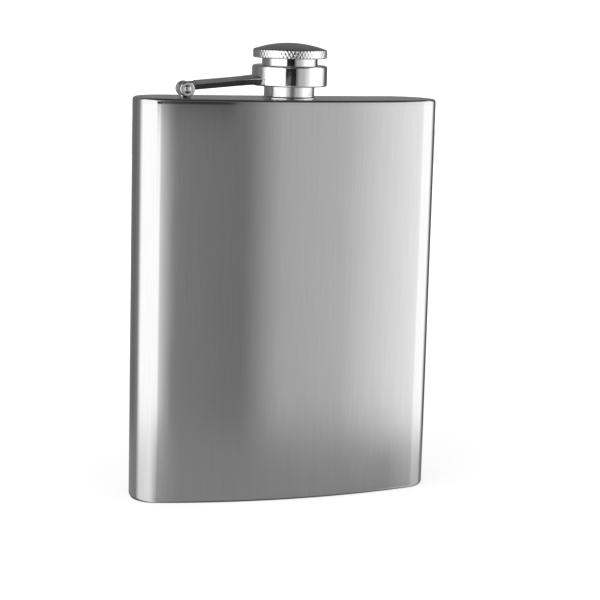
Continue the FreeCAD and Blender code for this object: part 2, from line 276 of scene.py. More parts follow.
def with_shoulders(outline, gap=0.03 * MM):
    """Adds a point close to each end of every long run, so that flats stay flat when shaded."""
    after = np.roll(outline, -1, 0)
    run = after - outline
    size = np.linalg.norm(run, axis=1, keepdims=True)
    share = np.where(size > 4 * gap, gap / np.maximum(size, gap), 0.5)
    dense = np.stack([outline, outline + run * share, after - run * share], 1).reshape(-1, 2)
    keep = np.r_[True, np.linalg.norm(np.diff(dense, axis=0), axis=1) > 1e-9]
    return dense[keep]


def lathe(profile, columns):
    """Surface turned about the neck's axis: (radius, height) rows by angles round the axis."""
    angle = np.linspace(0, 2 * math.pi, columns, endpoint=False)[None, :]
    radius, z = profile[:, 0][:, None], profile[:, 1][:, None]
    return np.stack([radius * np.cos(angle), radius * np.sin(angle), z + 0 * angle], -1)


def cross_lathe(profile, columns, x, z):
    """Surface turned about a line along Y through (x, z): (radius, y) rows by angles."""
    angle = np.linspace(0, 2 * math.pi, columns, endpoint=False)[None, :]
    radius, y = profile[:, 0][:, None], profile[:, 1][:, None]
    return np.stack([x + radius * np.cos(angle), y + 0 * angle, z + radius * np.sin(angle)], -1)


# ---- vessel ----

def face_radius(half_width, rise):
    """Radius of the arc that rises by `rise` over `half_width`, starting level."""
    return (half_width ** 2 + rise ** 2) / (2 * rise)


def vessel_outline(sizes, inset):
    """Section of the vessel, set inwards by each value of `inset`: rows by points round it.

    The right half is a front arc, two corner arcs that share tangents with it and with the
    hollow back arc, and the back arc; every arc keeps its centre when it is set inwards, so a
    bulging arc loses `inset` from its radius and the hollow one gains it.  The left half is
    the right half mirrored.
    """
    inset = np.atleast_1d(inset)[:, None]
    front_radius = face_radius(sizes.half_width, sizes.front_rise)
    back_radius = face_radius(sizes.half_width, sizes.back_rise)
    front_y = front_radius - sizes.half_depth
    back_y = back_radius + sizes.half_depth
    front_x = sizes.half_width - sizes.front_corner
    back_x = sizes.half_width - sizes.back_corner
    front_corner_y = front_y - math.sqrt((front_radius - sizes.front_corner) ** 2 - front_x ** 2)
    back_corner_y = back_y - math.sqrt((back_radius + sizes.back_corner) ** 2 - back_x ** 2)
    front_joint = math.atan2(front_corner_y - front_y, front_x)
    back_joint = math.atan2(back_corner_y - back_y, back_x)
    quarter = math.pi / 2

    def arc(x, y, radius, start, end, count):
        angle = np.linspace(start, end, count)[None, :]
        return np.stack([x + radius * np.cos(angle), y + radius * np.sin(angle)], -1)

    right = np.concatenate([
        arc(0, front_y, front_radius - inset, -quarter, front_joint, 60),
        arc(front_x, front_corner_y, sizes.front_corner - inset, front_joint, 0, 40)[:, 1:],
        arc(back_x, back_corner_y, sizes.back_corner - inset, 0, back_joint + math.pi, 40),
        arc(0, back_y, back_radius + inset, back_joint, -quarter, 60)[:, 1:],
    ], 1)
    left = right[:, -2:0:-1] * [-1, 1]
    return np.concatenate([right, left], 1)


def vessel_rows(sizes, rows):
    """Grid swept round the vessel from (inset, height, draw, hole) rows.

    `draw` slides each point from the outline, at 0, to a circle of radius `hole` about the
    neck's axis, at 1, along a straight line that keeps its direction from the axis.
    """
    inset, z, draw, hole = (np.array(column)[:, None] for column in zip(*rows))
    outline = vessel_outline(sizes, inset[:, 0])
    direction = outline / np.linalg.norm(outline, axis=-1, keepdims=True)
    flat = outline * (1 - draw[..., None]) + direction * (hole * draw)[..., None]
    return np.concatenate([flat, np.broadcast_to(z[..., None], flat.shape[:2] + (1,))], -1)


def bend(radius, steps=9):
    """(distance in from the wall, distance above the bend's start) round a quarter bend."""
    angle = np.linspace(0, math.pi / 2, steps)
    return list(zip(radius * (1 - np.cos(angle)), radius * np.sin(angle)))


def wrap_shell(s):
    """The wall between the two welds: a closed sleeve of sheet thickness."""
    heights = np.linspace(s.wrap_bottom, s.wrap_top, 9)
    outer = [(0, z, 0, 0) for z in heights]
    inner = [(s.sheet, z, 0, 0) for z in heights[::-1]]
    return vessel_rows(s, outer + inner)


def lid_shell(s):
    """Pressed lid: short wall, bend, flat top to the neck hole, and the same inside."""
    draw = np.linspace(0.02, 1, 12)
    inner_bend = s.lid_bend - s.sheet
    under = s.plate - s.sheet
    outer = [(0, s.wrap_top, 0, 0)]
    outer += [(i, s.plate - s.lid_bend + z, 0, 0) for i, z in bend(s.lid_bend)]
    outer += [(s.lid_bend, s.plate, t, s.neck_hole) for t in draw]
    inner = [(s.lid_bend, under, t, s.neck_hole) for t in draw[::-1]]
    inner += [(s.sheet + i, under - inner_bend + z, 0, 0) for i, z in bend(inner_bend)[::-1]]
    inner += [(s.sheet, s.wrap_top, 0, 0)]
    return vessel_rows(s, outer + inner)


def base_shell(s):
    """Pressed pan: flat floor from its middle to the bend, wall, and the same inside."""
    draw = np.linspace(0.02, 1, 8)
    inner_bend = s.base_bend - s.sheet
    outer = [(s.base_bend, 0, t, 0) for t in draw[::-1]]
    outer += [(i, s.base_bend - z, 0, 0) for i, z in bend(s.base_bend)[::-1]]
    outer += [(0, s.wrap_bottom, 0, 0), (s.sheet, s.wrap_bottom, 0, 0)]
    inner = [(s.sheet + i, s.sheet + inner_bend - z, 0, 0) for i, z in bend(inner_bend)]
    inner += [(s.base_bend, s.sheet, t, 0) for t in draw]
    return vessel_rows(s, outer + inner)


# ---- turned pieces ----

def at_radius(grid, radius):
    """Moves each point of a turned grid straight out or in to a new radius."""
    scale = radius / np.maximum(np.hypot(grid[..., 0], grid[..., 1]), 1e-9)
    return np.stack([grid[..., 0] * scale, grid[..., 1] * scale, grid[..., 2]], -1)


def thread_height(angle, z, low, high, pitch):
    """Share of a right-hand thread's depth at each angle and height.

    The ridge climbs by one pitch a turn; it is full within 0.1 pitch of its middle, falls
    straight to nothing at 0.4 pitch, and runs out over 0.3 pitch at both ends.
    """
    turn = (z - low) / pitch - angle / (2 * math.pi)
    from_middle = np.abs(turn - np.round(turn))
    ridge = np.clip((0.4 - from_middle) / 0.3, 0, 1)
    run_out = np.clip(np.minimum(z - low, high - z) / (0.3 * pitch), 0, 1)
    return ridge * run_out


def threaded(grid, root, crest, low, high, pitch):
    """Moves the rows of a turned grid that stand at the thread's root to its ridge."""
    radius = np.hypot(grid[..., 0], grid[..., 1])
    angle = np.arctan2(grid[..., 1], grid[..., 0])
    at_root = (np.abs(radius - root) < 0.01 * MM) & (grid[..., 2] > low) & (grid[..., 2] < high)
    ridge = thread_height(angle, grid[..., 2], low, high, pitch)
    return at_radius(grid, radius + np.where(at_root, ridge * (crest - root), 0))


def split_run(profile, low, high, radius, count):
    """Divides the upright run of a profile at one radius into `count` even rows."""
    at = [i for i in range(len(profile)) if abs(profile[i, 0] - radius) < 1e-8
          and low - 1e-8 <= profile[i, 1] <= high + 1e-8]
    first, last = at[0], at[-1]
    heights = np.linspace(profile[first, 1], profile[last, 1], count)
    run = np.stack([np.full(count, radius), heights], -1)
    return np.concatenate([profile[:first], run, profile[last + 1:]])


def neck_shell(s, plate):
    """Spout: weld ring, hollow fillet up to the smooth part, shoulder, thread, rounded mouth."""
    shoulder = plate + s.thread_start
    spigot = s.outside - 0.6 * MM
    ring_top, fillet_top, chamfer = plate + 0.3 * MM, plate + 0.5 * MM, 0.25 * MM
    profile = rounded([
        (s.bore, s.bottom), (spigot, s.bottom), (spigot, plate), (s.ring, plate),
        (s.ring, ring_top), (s.outside, fillet_top), (s.outside, shoulder - chamfer),
        (s.thread_root, shoulder), (s.thread_root, s.top), (s.bore, s.top),
    ], np.array([0.1, 0.1, 0, 0, 0.15, 0.45, 0.1, 0.05, 0.2, 0.2]) * MM)
    profile = with_shoulders(profile)
    profile = split_run(profile, shoulder, s.top, s.thread_root, 40)
    return threaded(lathe(profile, 160), s.thread_root, s.thread_crest,
                    shoulder + 0.1 * MM, s.top - 0.2 * MM, s.pitch)


def collar_shell(s):
    """Tall ring with a rounded top edge, a small lower chamfer and an inner lip at the top."""
    profile = rounded([
        (s.collar_bore, s.collar_bottom), (s.collar, s.collar_bottom), (s.collar, s.collar_top),
        (s.lip_hole, s.collar_top), (s.lip_hole, s.collar_top - s.lip),
        (s.collar_bore, s.collar_top - s.lip),
    ], np.array([0.15, 0.45, 0.8, 0.12, 0.1, 0.1]) * MM, steps=9)
    return lathe(with_shoulders(profile), 192)


def skirt_shell(s, pitch):
    """Threaded sleeve: flange, plain outside, bore for the gasket and the knob, inner thread."""
    flange_top = s.skirt_bottom + 1.0 * MM
    thread_top = s.skirt_bottom + 2.8 * MM
    seat = s.skirt_bottom + 3.05 * MM
    profile = rounded([
        (s.thread_crest, thread_top), (s.thread_root, thread_top), (s.thread_root, s.skirt_bottom),
        (s.flange, s.skirt_bottom), (s.flange, flange_top), (s.skirt, flange_top),
        (s.skirt, s.skirt_top), (s.skirt_bore, s.skirt_top), (s.skirt_bore, seat),
        (s.thread_crest, seat),
    ], np.array([0.03, 0.03, 0.1, 0.2, 0.2, 0.1, 0, 0, 0.05, 0.03]) * MM)
    profile = with_shoulders(profile)
    profile = split_run(profile, s.skirt_bottom, thread_top, s.thread_root, 36)
    return threaded(lathe(profile, 160), s.thread_root, s.thread_crest,
                    s.skirt_bottom + 0.15 * MM, thread_top - 0.05 * MM, pitch)


def knob_profile(s):
    """Knob from the top of its dome, round the band and the spigot, to its blind bore."""
    edge, spigot_wall, crown_wall = 0.25 * MM, 2.1 * MM, 0.7 * MM
    rows = 26
    band_bottom = s.skirt_top
    band_top = band_bottom + s.band
    dome_edge = s.knob - edge
    dome_radius = face_radius(dome_edge, s.knob_top - band_top)
    across = dome_edge * np.sin(np.linspace(0, math.pi / 2, rows))
    dome = np.stack([across, s.knob_top - dome_radius + np.sqrt(dome_radius ** 2 - across ** 2)], -1)
    heights = np.linspace(band_top - edge, band_bottom + edge, rows)
    band = np.stack([np.full(rows, s.knob), heights], -1)
    core = s.skirt_bore - spigot_wall
    core_top = band_top - crown_wall
    under = np.array([
        (dome_edge, band_bottom), (s.skirt + 0.3 * MM, band_bottom), (s.skirt_bore, band_bottom),
        (s.skirt_bore, s.knob_bottom + 0.2 * MM), (s.skirt_bore - 0.2 * MM, s.knob_bottom),
        (core, s.knob_bottom), (core, core_top), (0, core_top),
    ])
    return np.concatenate([dome, band, under])


def knurled(grid, s, teeth):
    """Cuts a diamond knurl of `teeth` teeth into the knob's band.

    Two triangle waves run round the rim and lean 30 degrees either way; the surface stands at
    the lower of the two, so the crossing grooves leave small pyramids.  The grooves fade out
    at the edges of the band.
    """
    angle = np.arctan2(grid[..., 1], grid[..., 0])
    radius = np.hypot(grid[..., 0], grid[..., 1])
    middle = s.skirt_top + s.band / 2
    round_rim = teeth * angle / (2 * math.pi)
    lean = (grid[..., 2] - middle) * math.tan(math.radians(30)) / s.knurl_pitch

    def wave(x):
        return 1 - np.abs(2 * (x - np.floor(x)) - 1)

    pyramid = np.minimum(wave(round_rim + lean), wave(round_rim - lean))
    inside = np.clip((s.band / 2 - np.abs(grid[..., 2] - middle)) / (0.2 * MM), 0, 1)
    cut = np.where(radius > s.knob - 0.01 * MM, (1 - pyramid) * s.knurl_depth * inside, 0)
    return at_radius(grid, radius - cut)


def knob_shell(s):
    """The knob with its knurl, turned with ten columns to each tooth."""
    teeth = round(2 * math.pi * s.knob / s.knurl_pitch)
    return knurled(lathe(knob_profile(s), teeth * 10), s, teeth)


def gasket_shell(low, high, radius):
    """Flat disc with rounded edges, dished a little where the neck's rim presses it."""
    groove_in, groove_out, side, depth = 5.8 * MM, 7.1 * MM, 0.3 * MM, 0.04 * MM
    edge = 0.15 * MM
    profile = np.array([
        (0, low), (groove_in, low), (groove_in + side, low + depth),
        (groove_out - side, low + depth), (groove_out, low), (radius - edge, low),
        (radius, low + edge), (radius, high - edge), (radius - edge, high), (0, high),
    ])
    return lathe(profile, 96)


# ---- hinge and arm ----

def arm_space(s, along, y, above):
    """Places points given along the arm, across it and square to it, from the pin's middle."""
    cos, sin = math.cos(s.slope), math.sin(s.slope)
    along, y, above = np.broadcast_arrays(along, y, above)
    return np.stack([PIN_X + along * cos - above * sin, y, PIN_Z + along * sin + above * cos], -1)


def arm_section(s):
    """Section of the bar, (across, above) points: a low roof with a rounded ridge, flanks that
    lean in towards the bottom by `lean`, and a flat underside."""
    w = s.half_width
    return rounded([
        (-w + s.lean, -s.underside), (w - s.lean, -s.underside), (w, s.eye - s.crown),
        (s.ridge, s.eye), (-s.ridge, s.eye), (-w, s.eye - s.crown),
    ], np.array([0.15, 0.15, 0.12, 0.8, 0.8, 0.12]) * MM, steps=9)


def bar_shell(s, collar, collar_bottom):
    """Bar from the end of the slot to inside the collar's wall.

    Each section point runs along a straight line from the slot's end to a cylinder just
    inside the collar; over the last part the bar spreads to the saddle's width along a
    parabola, and its underside dips to the collar's lower edge.
    """
    section = arm_section(s)
    across, above = section[:, 0][None, :], section[:, 1][None, :]
    step = np.linspace(0, 1, 41)[:, None]
    flare_start, dip_start, dip_end = 0.6, 0.885, 0.93
    widen = np.clip((step - flare_start) / (1 - flare_start), 0, 1) ** 2
    under = np.clip((s.eye - s.crown - above) / (s.eye - s.crown + s.underside), 0, 1)
    y = across + np.sign(across) * widen * (s.saddle - s.half_width - under * s.lean / 2)
    reach = collar - 0.9 * MM
    end = -PIN_X - np.sqrt(np.maximum(reach ** 2 - y ** 2, 0))
    along = s.slot_end + (end - s.slot_end) * step
    dip = PIN_Z - collar_bottom
    lowest = -(dip + (-PIN_X - collar) * math.sin(s.slope))
    drop = np.clip((step - dip_start) / (dip_end - dip_start), 0, 1)
    drop = drop * drop * (3 - 2 * drop)
    low = above + (lowest + s.underside) * drop * under
    grid = arm_space(s, along, y, low)
    middle_start = arm_space(s, s.slot_end, 0.0, 0.5 * MM)
    middle_end = arm_space(s, -PIN_X - reach, 0.0, 0.5 * MM)
    caps = [np.broadcast_to(p, grid[:1].shape) for p in (middle_start, middle_end)]
    return np.concatenate([caps[0], grid, caps[1]])


def tine_section(s, side):
    """Outer part of the bar's section on one side of the slot."""
    w = s.half_width
    roof_here = s.eye - s.crown * (s.half_slot - s.ridge) / (w - s.ridge)
    points = [(s.half_slot, -s.underside), (w - s.lean, -s.underside), (w, s.eye - s.crown),
              (s.half_slot + 0.1 * MM, roof_here), (s.half_slot, roof_here - 0.1 * MM)]
    outline = rounded(points, np.array([0.1, 0.15, 0.12, 0.04, 0.04]) * MM)
    return outline * [side, 1]


def tine_shell(s, side):
    """Straight part of one tine, from the pin to the end of the slot."""
    section = tine_section(s, side)
    along = np.linspace(0, s.slot_end, 3)[:, None]
    grid = arm_space(s, along, section[:, 0][None, :], section[:, 1][None, :])
    middle = (s.half_slot + s.half_width) / 2 * side
    caps = [np.broadcast_to(arm_space(s, a, middle, 0.5 * MM), grid[:1].shape)
            for a in (0.0, s.slot_end)]
    return np.concatenate([caps[0], grid, caps[1]])


def eye_shell(s, side):
    """Round eye of one tine: a disc with rounded rims and a countersink round the pin."""
    inner, outer = s.half_slot, s.half_width
    sink, recess = s.pin_head + 0.25 * MM, outer - 0.2 * MM
    profile = rounded([
        (0, inner), (s.eye, inner), (s.eye, outer), (sink, outer), (s.pin_head, recess),
        (0, recess),
    ], np.array([0, 0.15, 0.45, 0.12, 0.04, 0]) * MM, steps=8)
    return cross_lathe(profile * [1, side], 72, PIN_X, PIN_Z)


def pin_shell(s):
    """Pin with a domed, riveted head at each end, whose foot fills the countersink."""
    head, foot = 0.3 * MM, 0.5 * MM
    angle = np.linspace(0, math.pi / 2, 8)
    dome = np.stack([s.pin_head * np.sin(angle), s.pin_end - head * (1 - np.cos(angle))], -1)
    end = np.concatenate([dome, [(s.pin_head, s.pin_end - foot), (s.pin, s.pin_end - foot)]])
    return cross_lathe(np.concatenate([end, end[::-1] * [1, -1]]), 48, PIN_X, PIN_Z)


def knuckle_shell(s):
    """Post's knuckle: a disc with rounded edges."""
    w = s.knuckle_half_width
    profile = rounded([(0, -w), (s.knuckle, -w), (s.knuckle, w), (0, w)],
                      np.array([0, 0.25, 0.25, 0]) * MM)
    return cross_lathe(profile, 56, PIN_X, PIN_Z)


def post_foot_shell(s, plate):
    """Foot below the knuckle: rounded rectangles that spread to a weld fillet at the plate."""
    fillet, fillet_share, half_foot = 0.35 * MM, 0.35, 1.45 * MM
    steps = np.linspace(0, 1, 10)[:, None]
    in_fillet = 1 - np.clip(steps / fillet_share, 0, 1)
    spread = fillet * (1 - np.sqrt(1 - in_fillet ** 2 * 0.98))
    half_x = half_foot + spread
    half_y = s.knuckle_half_width - 0.02 * MM + spread
    base = rounded([(-1, -1), (1, -1), (1, 1), (-1, 1)], 0.3)
    x = PIN_X + half_x * base[:, 0][None, :]
    y = half_y * base[:, 1][None, :]
    z = plate + (PIN_Z - plate) * steps + 0 * x
    grid = np.stack([x, y, z], -1)
    caps = [np.broadcast_to([PIN_X, 0, level], grid[:1].shape) for level in (plate, PIN_Z)]
    return np.concatenate([caps[0], grid, caps[1]])


# ---- finishes ----

def place(tree, kind, inputs=None, **settings):
    """Adds one node, with its settings, and fills or links its inputs."""
    made = tree.nodes.new(kind)
    for name, value in settings.items():
        setattr(made, name, value)
    for name, value in (inputs or {}).items():
        if isinstance(value, bpy.types.NodeSocket):
            tree.links.new(value, made.inputs[name])
        else:
            made.inputs[name].default_value = value
    return made


def new_material(name):
    material = bpy.data.materials.new(name)
    material.use_nodes = True
    material.node_tree.nodes.clear()
    return material, material.node_tree


def finish_material(tree, shader):
    place(tree, "ShaderNodeOutputMaterial", {"Surface": shader.outputs[0]})


def steel_surface(tree, base, rough, marks, strength, depth):
    """Bare steel with faint marks in relief, whose `depth` is in metres."""
    bump = place(tree, "ShaderNodeBump", {"Height": marks.outputs["Fac"], "Strength": strength,
                                          "Distance": depth})
    steel = place(tree, "ShaderNodeBsdfPrincipled", {
        "Base Color": base, "Metallic": 1.0, "Roughness": rough.outputs[0],
        "Normal": bump.outputs[0]})
    finish_material(tree, steel)


def grain(tree, spacing, run, detail=3.0, axis="z"):
    """Noise drawn out along one axis: `spacing` across the grain and `run` along it, in metres."""
    across, along = 1 / spacing, 1 / run
    scale = [along if name == axis else across for name in "xyz"]
    where = place(tree, "ShaderNodeTexCoord")
    mapping = place(tree, "ShaderNodeMapping", {"Vector": where.outputs["Object"], "Scale": scale})
    return place(tree, "ShaderNodeTexNoise",
                 {"Vector": mapping.outputs[0], "Scale": 1.0, "Detail": detail, "Roughness": 0.6})


def tinted(tree, factor, base, dark, light):
    """Base colour times a grey that runs from `dark` to `light` with the factor."""
    shade = place(tree, "ShaderNodeMapRange",
                  {"Value": factor, "From Min": 0.3, "From Max": 0.7, "To Min": dark, "To Max": light})
    return place(tree, "ShaderNodeVectorMath", {0: tuple(base), 1: shade.outputs[0]},
                 operation="MULTIPLY")


def brushed_sheet(colours):
    """304 stainless sheet, belt-brushed along the height and then lightly buffed: a soft mirror
    with fine upright lines, and slow cloudiness from the buffing wheel."""
    material, tree = new_material("brushed_stainless_sheet")
    # Belt lines are about 0.05 mm apart on the real sheet; 0.35 mm is the finest that shows.
    lines = grain(tree, 0.35 * MM, 18 * MM)
    clouds = grain(tree, 9 * MM, 30 * MM, detail=2.0)
    base = tinted(tree, lines.outputs["Fac"], colours.sheet, 0.97, 1.02)
    rough = place(tree, "ShaderNodeMapRange", {"Value": clouds.outputs["Fac"], "From Min": 0.3,
                                               "From Max": 0.7, "To Min": 0.075, "To Max": 0.105})
    steel_surface(tree, base.outputs[0], rough, lines, 0.06, 0.01 * MM)
    return material


def satin_lid(colours):
    """The same sheet, brushed along the width, with its welded edge linished smooth."""
    material, tree = new_material("satin_stainless_lid")
    lines = grain(tree, 0.3 * MM, 14 * MM, axis="x")
    base = tinted(tree, lines.outputs["Fac"], colours.lid, 0.95, 1.03)
    where = place(tree, "ShaderNodeTexCoord")
    up = place(tree, "ShaderNodeSeparateXYZ", {0: where.outputs["Object"]})
    edge = place(tree, "ShaderNodeMapRange", {"Value": up.outputs["Z"], "From Min": PLATE - 0.3 * MM,
                                              "From Max": PLATE, "To Min": 0.1, "To Max": 0.2})
    steel_surface(tree, base.outputs[0], edge, lines, 0.05, 0.01 * MM)
    return material


def polished_turning(name, colours, smoothest, dullest):
    """Turned stainless, mirror-polished: sharp bands of light, faint rings left by the lathe."""
    material, tree = new_material(name)
    rings = grain(tree, 30 * MM, 0.12 * MM, detail=1.0)
    smears = grain(tree, 2.5 * MM, 4 * MM)
    base = tinted(tree, smears.outputs["Fac"], colours.polished, 0.97, 1.02)
    rough = place(tree, "ShaderNodeMapRange", {"Value": smears.outputs["Fac"], "From Min": 0.3,
                                               "From Max": 0.7, "To Min": smoothest, "To Max": dullest})
    steel_surface(tree, base.outputs[0], rough, rings, 0.03, 0.005 * MM)
    return material


def tumbled_casting(colours):
    """Cast stainless, tumbled bright: rounder gloss and a slight orange-peel unevenness."""
    material, tree = new_material("tumbled_cast_stainless")
    peel = grain(tree, 0.7 * MM, 0.7 * MM)
    base = tinted(tree, peel.outputs["Fac"], colours.cast, 0.94, 1.03)
    rough = place(tree, "ShaderNodeMapRange", {"Value": peel.outputs["Fac"], "From Min": 0.3,
                                               "From Max": 0.7, "To Min": 0.1, "To Max": 0.2})
    steel_surface(tree, base.outputs[0], rough, peel, 0.08, 0.02 * MM)
    return material


def knurled_turning(colours, dome_start):
    """Turned stainless knob: a rolled, bright knurl, and a dome left duller by its facing rings."""
    material, tree = new_material("knurled_turned_stainless")
    where = place(tree, "ShaderNodeTexCoord")
    flat = place(tree, "ShaderNodeVectorMath",
                 {0: where.outputs["Object"], 1: (1.0, 1.0, 0.0)}, operation="MULTIPLY")
    radius = place(tree, "ShaderNodeVectorMath", {0: flat.outputs[0]}, operation="LENGTH")
    # Facing marks on the real dome are about 0.05 mm apart; 0.2 mm is the finest that shows.
    rings = place(tree, "ShaderNodeTexNoise", {"W": radius.outputs["Value"], "Scale": 1 / (0.2 * MM),
                                               "Detail": 2.0}, noise_dimensions="1D")
    band = tinted(tree, rings.outputs["Fac"], colours.knurled, 0.94, 1.02)
    dome = tinted(tree, rings.outputs["Fac"], colours.dome, 0.94, 1.03)
    up = place(tree, "ShaderNodeSeparateXYZ", {0: where.outputs["Object"]})
    on_dome = place(tree, "ShaderNodeMath", {0: up.outputs["Z"], 1: dome_start},
                    operation="GREATER_THAN")
    base = place(tree, "ShaderNodeMix", {"Factor": on_dome.outputs[0], 6: band.outputs[0],
                                         7: dome.outputs[0]}, data_type="RGBA")
    rough = place(tree, "ShaderNodeMapRange", {"Value": on_dome.outputs[0],
                                               "To Min": 0.1, "To Max": 0.24})
    steel_surface(tree, base.outputs[2], rough, rings, 0.04, 0.01 * MM)
    return material


def silicone(colours):
    """Moulded food-grade silicone: off-white, soft and matt, with a dusty bloom."""
    material, tree = new_material("moulded_silicone_gasket")
    bloom = grain(tree, 0.6 * MM, 0.6 * MM)
    base = tinted(tree, bloom.outputs["Fac"], colours.gasket, 0.93, 1.0)
    rubber = place(tree, "ShaderNodeBsdfPrincipled", {
        "Base Color": base.outputs[0], "Roughness": 0.6, "IOR": 1.41})
    finish_material(tree, rubber)
    return material


# ---- studio ----

# The studio round the flask: (degrees from the front towards the right, sRGB grey of the surface).
PANELS = [
    (-180, 100), (-135, 96), (-110, 120),          # wall behind and on the left
    (-92, 250), (-15, 250),                        # white panel on the left
    (-10, 116), (6, 104),                          # gap between the panels
    (14, 160), (28, 171), (46, 224),               # paper in front, brighter towards the right
    (52, 250), (99, 250),                          # white panel on the right
    (120, 80), (137, 70), (160, 108), (180, 100),  # wall on the right and behind
]
TABLE = [
    (-112, 118), (-92, 205), (-45, 215),           # table on the left, lit by the panel
    (-8, 121), (40, 124),                          # table in front
    (58, 175), (95, 175), (115, 110),              # table on the right
]
# Heights, in degrees, at which the panels start to fade, and at which only the ceiling is left.
FADE_FROM = [(-112, 30), (-96, 36), (-46, 36), (-34, 22), (48, 22), (62, 34), (100, 34), (125, 30)]
FADE_TO = [(-180, 80), (-112, 60), (-96, 48), (-46, 48), (-34, 34), (48, 34), (62, 52), (100, 52),
           (125, 80)]
CEILING = "#343434"
# Heights, in degrees, between which the table gives way to the panels.
TABLE_TOP, PANEL_FOOT = -15.2, -13.4
# Dark stand in front: middle and half width, lower and upper edge, in degrees.
STAND = "#151515"
STAND_MIDDLE, STAND_HALF_WIDTH, STAND_LOW, STAND_HIGH = -12.5, 16.0, -3.6, 14.0


def studio_world(strength):
    """World seen as panels that change round the studio, over a table and under a dark ceiling."""
    world = bpy.data.worlds.new("studio")
    world.use_nodes = True
    tree = world.node_tree
    tree.nodes.clear()
    where = place(tree, "ShaderNodeTexCoord")
    axes = place(tree, "ShaderNodeSeparateXYZ", {0: where.outputs["Generated"]})
    forward = place(tree, "ShaderNodeMath", {0: axes.outputs["Y"], 1: -1.0}, operation="MULTIPLY")
    turn = place(tree, "ShaderNodeMath", {0: axes.outputs["X"], 1: forward.outputs[0]},
                 operation="ARCTAN2")
    turn_share = place(tree, "ShaderNodeMapRange", {
        "Value": turn.outputs[0], "From Min": -math.pi, "From Max": math.pi})
    rise = place(tree, "ShaderNodeMath", {0: axes.outputs["Z"]}, operation="ARCSINE")
    round_studio = []
    for stops, is_tone in ((PANELS, True), (TABLE, True), (FADE_FROM, False), (FADE_TO, False)):
        curve = place(tree, "ShaderNodeValToRGB", {"Fac": turn_share.outputs[0]})
        elements = curve.color_ramp.elements
        while len(elements) < len(stops):
            elements.new(0.5)
        for element, (degrees, value) in zip(elements, stops):
            element.position = degrees / 360 + 0.5
            level = linear("#" + f"{value:02X}" * 3)[0] if is_tone else math.radians(value)
            element.color = (level, level, level, 1.0)
        round_studio.append(curve.outputs["Color"])
    panels, table, fade_from, fade_to = round_studio
    faded = place(tree, "ShaderNodeMapRange", {
        "Value": rise.outputs[0], "From Min": fade_from, "From Max": fade_to},
        interpolation_type="SMOOTHSTEP")
    windows = []
    for value, middle, half, soft in (
            (turn, STAND_MIDDLE, STAND_HALF_WIDTH, 1.0),
            (rise, (STAND_LOW + STAND_HIGH) / 2, (STAND_HIGH - STAND_LOW) / 2, 0.25)):
        offset = place(tree, "ShaderNodeMath", {0: value.outputs[0], 1: math.radians(middle)},
                       operation="SUBTRACT")
        away = place(tree, "ShaderNodeMath", {0: offset.outputs[0]}, operation="ABSOLUTE")
        windows.append(place(tree, "ShaderNodeMapRange", {
            "Value": away.outputs[0], "From Min": math.radians(half - soft),
            "From Max": math.radians(half + soft), "To Min": 1.0, "To Max": 0.0},
            interpolation_type="SMOOTHSTEP"))
    stand = place(tree, "ShaderNodeMath", {0: windows[0].outputs[0], 1: windows[1].outputs[0]},
                  operation="MULTIPLY")
    on_table = place(tree, "ShaderNodeMapRange", {
        "Value": rise.outputs[0], "From Min": math.radians(TABLE_TOP),
        "From Max": math.radians(PANEL_FOOT), "To Min": 1.0, "To Max": 0.0},
        interpolation_type="SMOOTHSTEP")
    seen = panels
    for share, tone in ((faded, (*linear(CEILING), 1.0)), (stand, (*linear(STAND), 1.0)),
                        (on_table, table)):
        layer = place(tree, "ShaderNodeMix", {"Factor": share.outputs[0], 6: seen, 7: tone},
                      data_type="RGBA")
        seen = layer.outputs[2]
    light = place(tree, "ShaderNodeBackground", {"Color": seen, "Strength": strength})
    place(tree, "ShaderNodeOutputWorld", {"Surface": light.outputs[0]})
    return world


def studio_camera(s):
    """Camera aimed at the flask's axis from `turn` and `tilt`, then moved aside and rolled."""
    forward = Vector((-math.sin(s.turn) * math.cos(s.tilt), math.cos(s.turn) * math.cos(s.tilt),
                      -math.sin(s.tilt)))
    right = Vector((math.cos(s.turn), math.sin(s.turn), 0))
    up = right.cross(forward)
    place_at = Vector((0, 0, s.aim)) - forward * s.distance + right * s.slide + up * s.lift
    leaning_right = right * math.cos(s.roll) + up * math.sin(s.roll)
    leaning_up = up * math.cos(s.roll) - right * math.sin(s.roll)
    data = bpy.data.cameras.new("camera")
    data.lens = s.focal
    data.sensor_width = 36.0
    data.clip_start = 0.01
    camera = add_object("camera", data)
    turned = Matrix((leaning_right, leaning_up, -forward)).transposed().to_4x4()
    camera.matrix_world = Matrix.Translation(place_at) @ turned
    return camera


def studio_surface(name, grid, material):
    """Stage object from a grid of points, kept out of the steel's reflections."""
    rows, columns = grid.shape[:2]
    mesh = bpy.data.meshes.new(name)
    mesh.from_pydata(grid.reshape(-1, 3).tolist(), [], grid_faces(rows, columns, False, 0).tolist())
    mesh.shade_smooth()
    mesh.materials.append(material)
    made = add_object(name, mesh)
    made.visible_glossy = False
    made.visible_diffuse = False
    made.visible_shadow = False
    return made


def cove():
    """Seamless floor, curved up into a wall and closed overhead: one profile turned round."""
    floor_end, bend_radius, wall_top, roof_rise = 1.5, 0.8, 1.6, 1.2
    wall = floor_end + bend_radius
    angle = np.linspace(0, math.pi / 2, 16)
    floor = [(r, 0.0) for r in (0.001, 0.06, 0.12, 0.2, 0.35, 0.7, floor_end)]
    rise = np.stack([floor_end + bend_radius * np.sin(angle), bend_radius * (1 - np.cos(angle))], -1)
    roof = np.stack([wall * np.cos(angle), wall_top + roof_rise * np.sin(angle)], -1)
    return lathe(np.concatenate([floor, rise, roof]), 96)


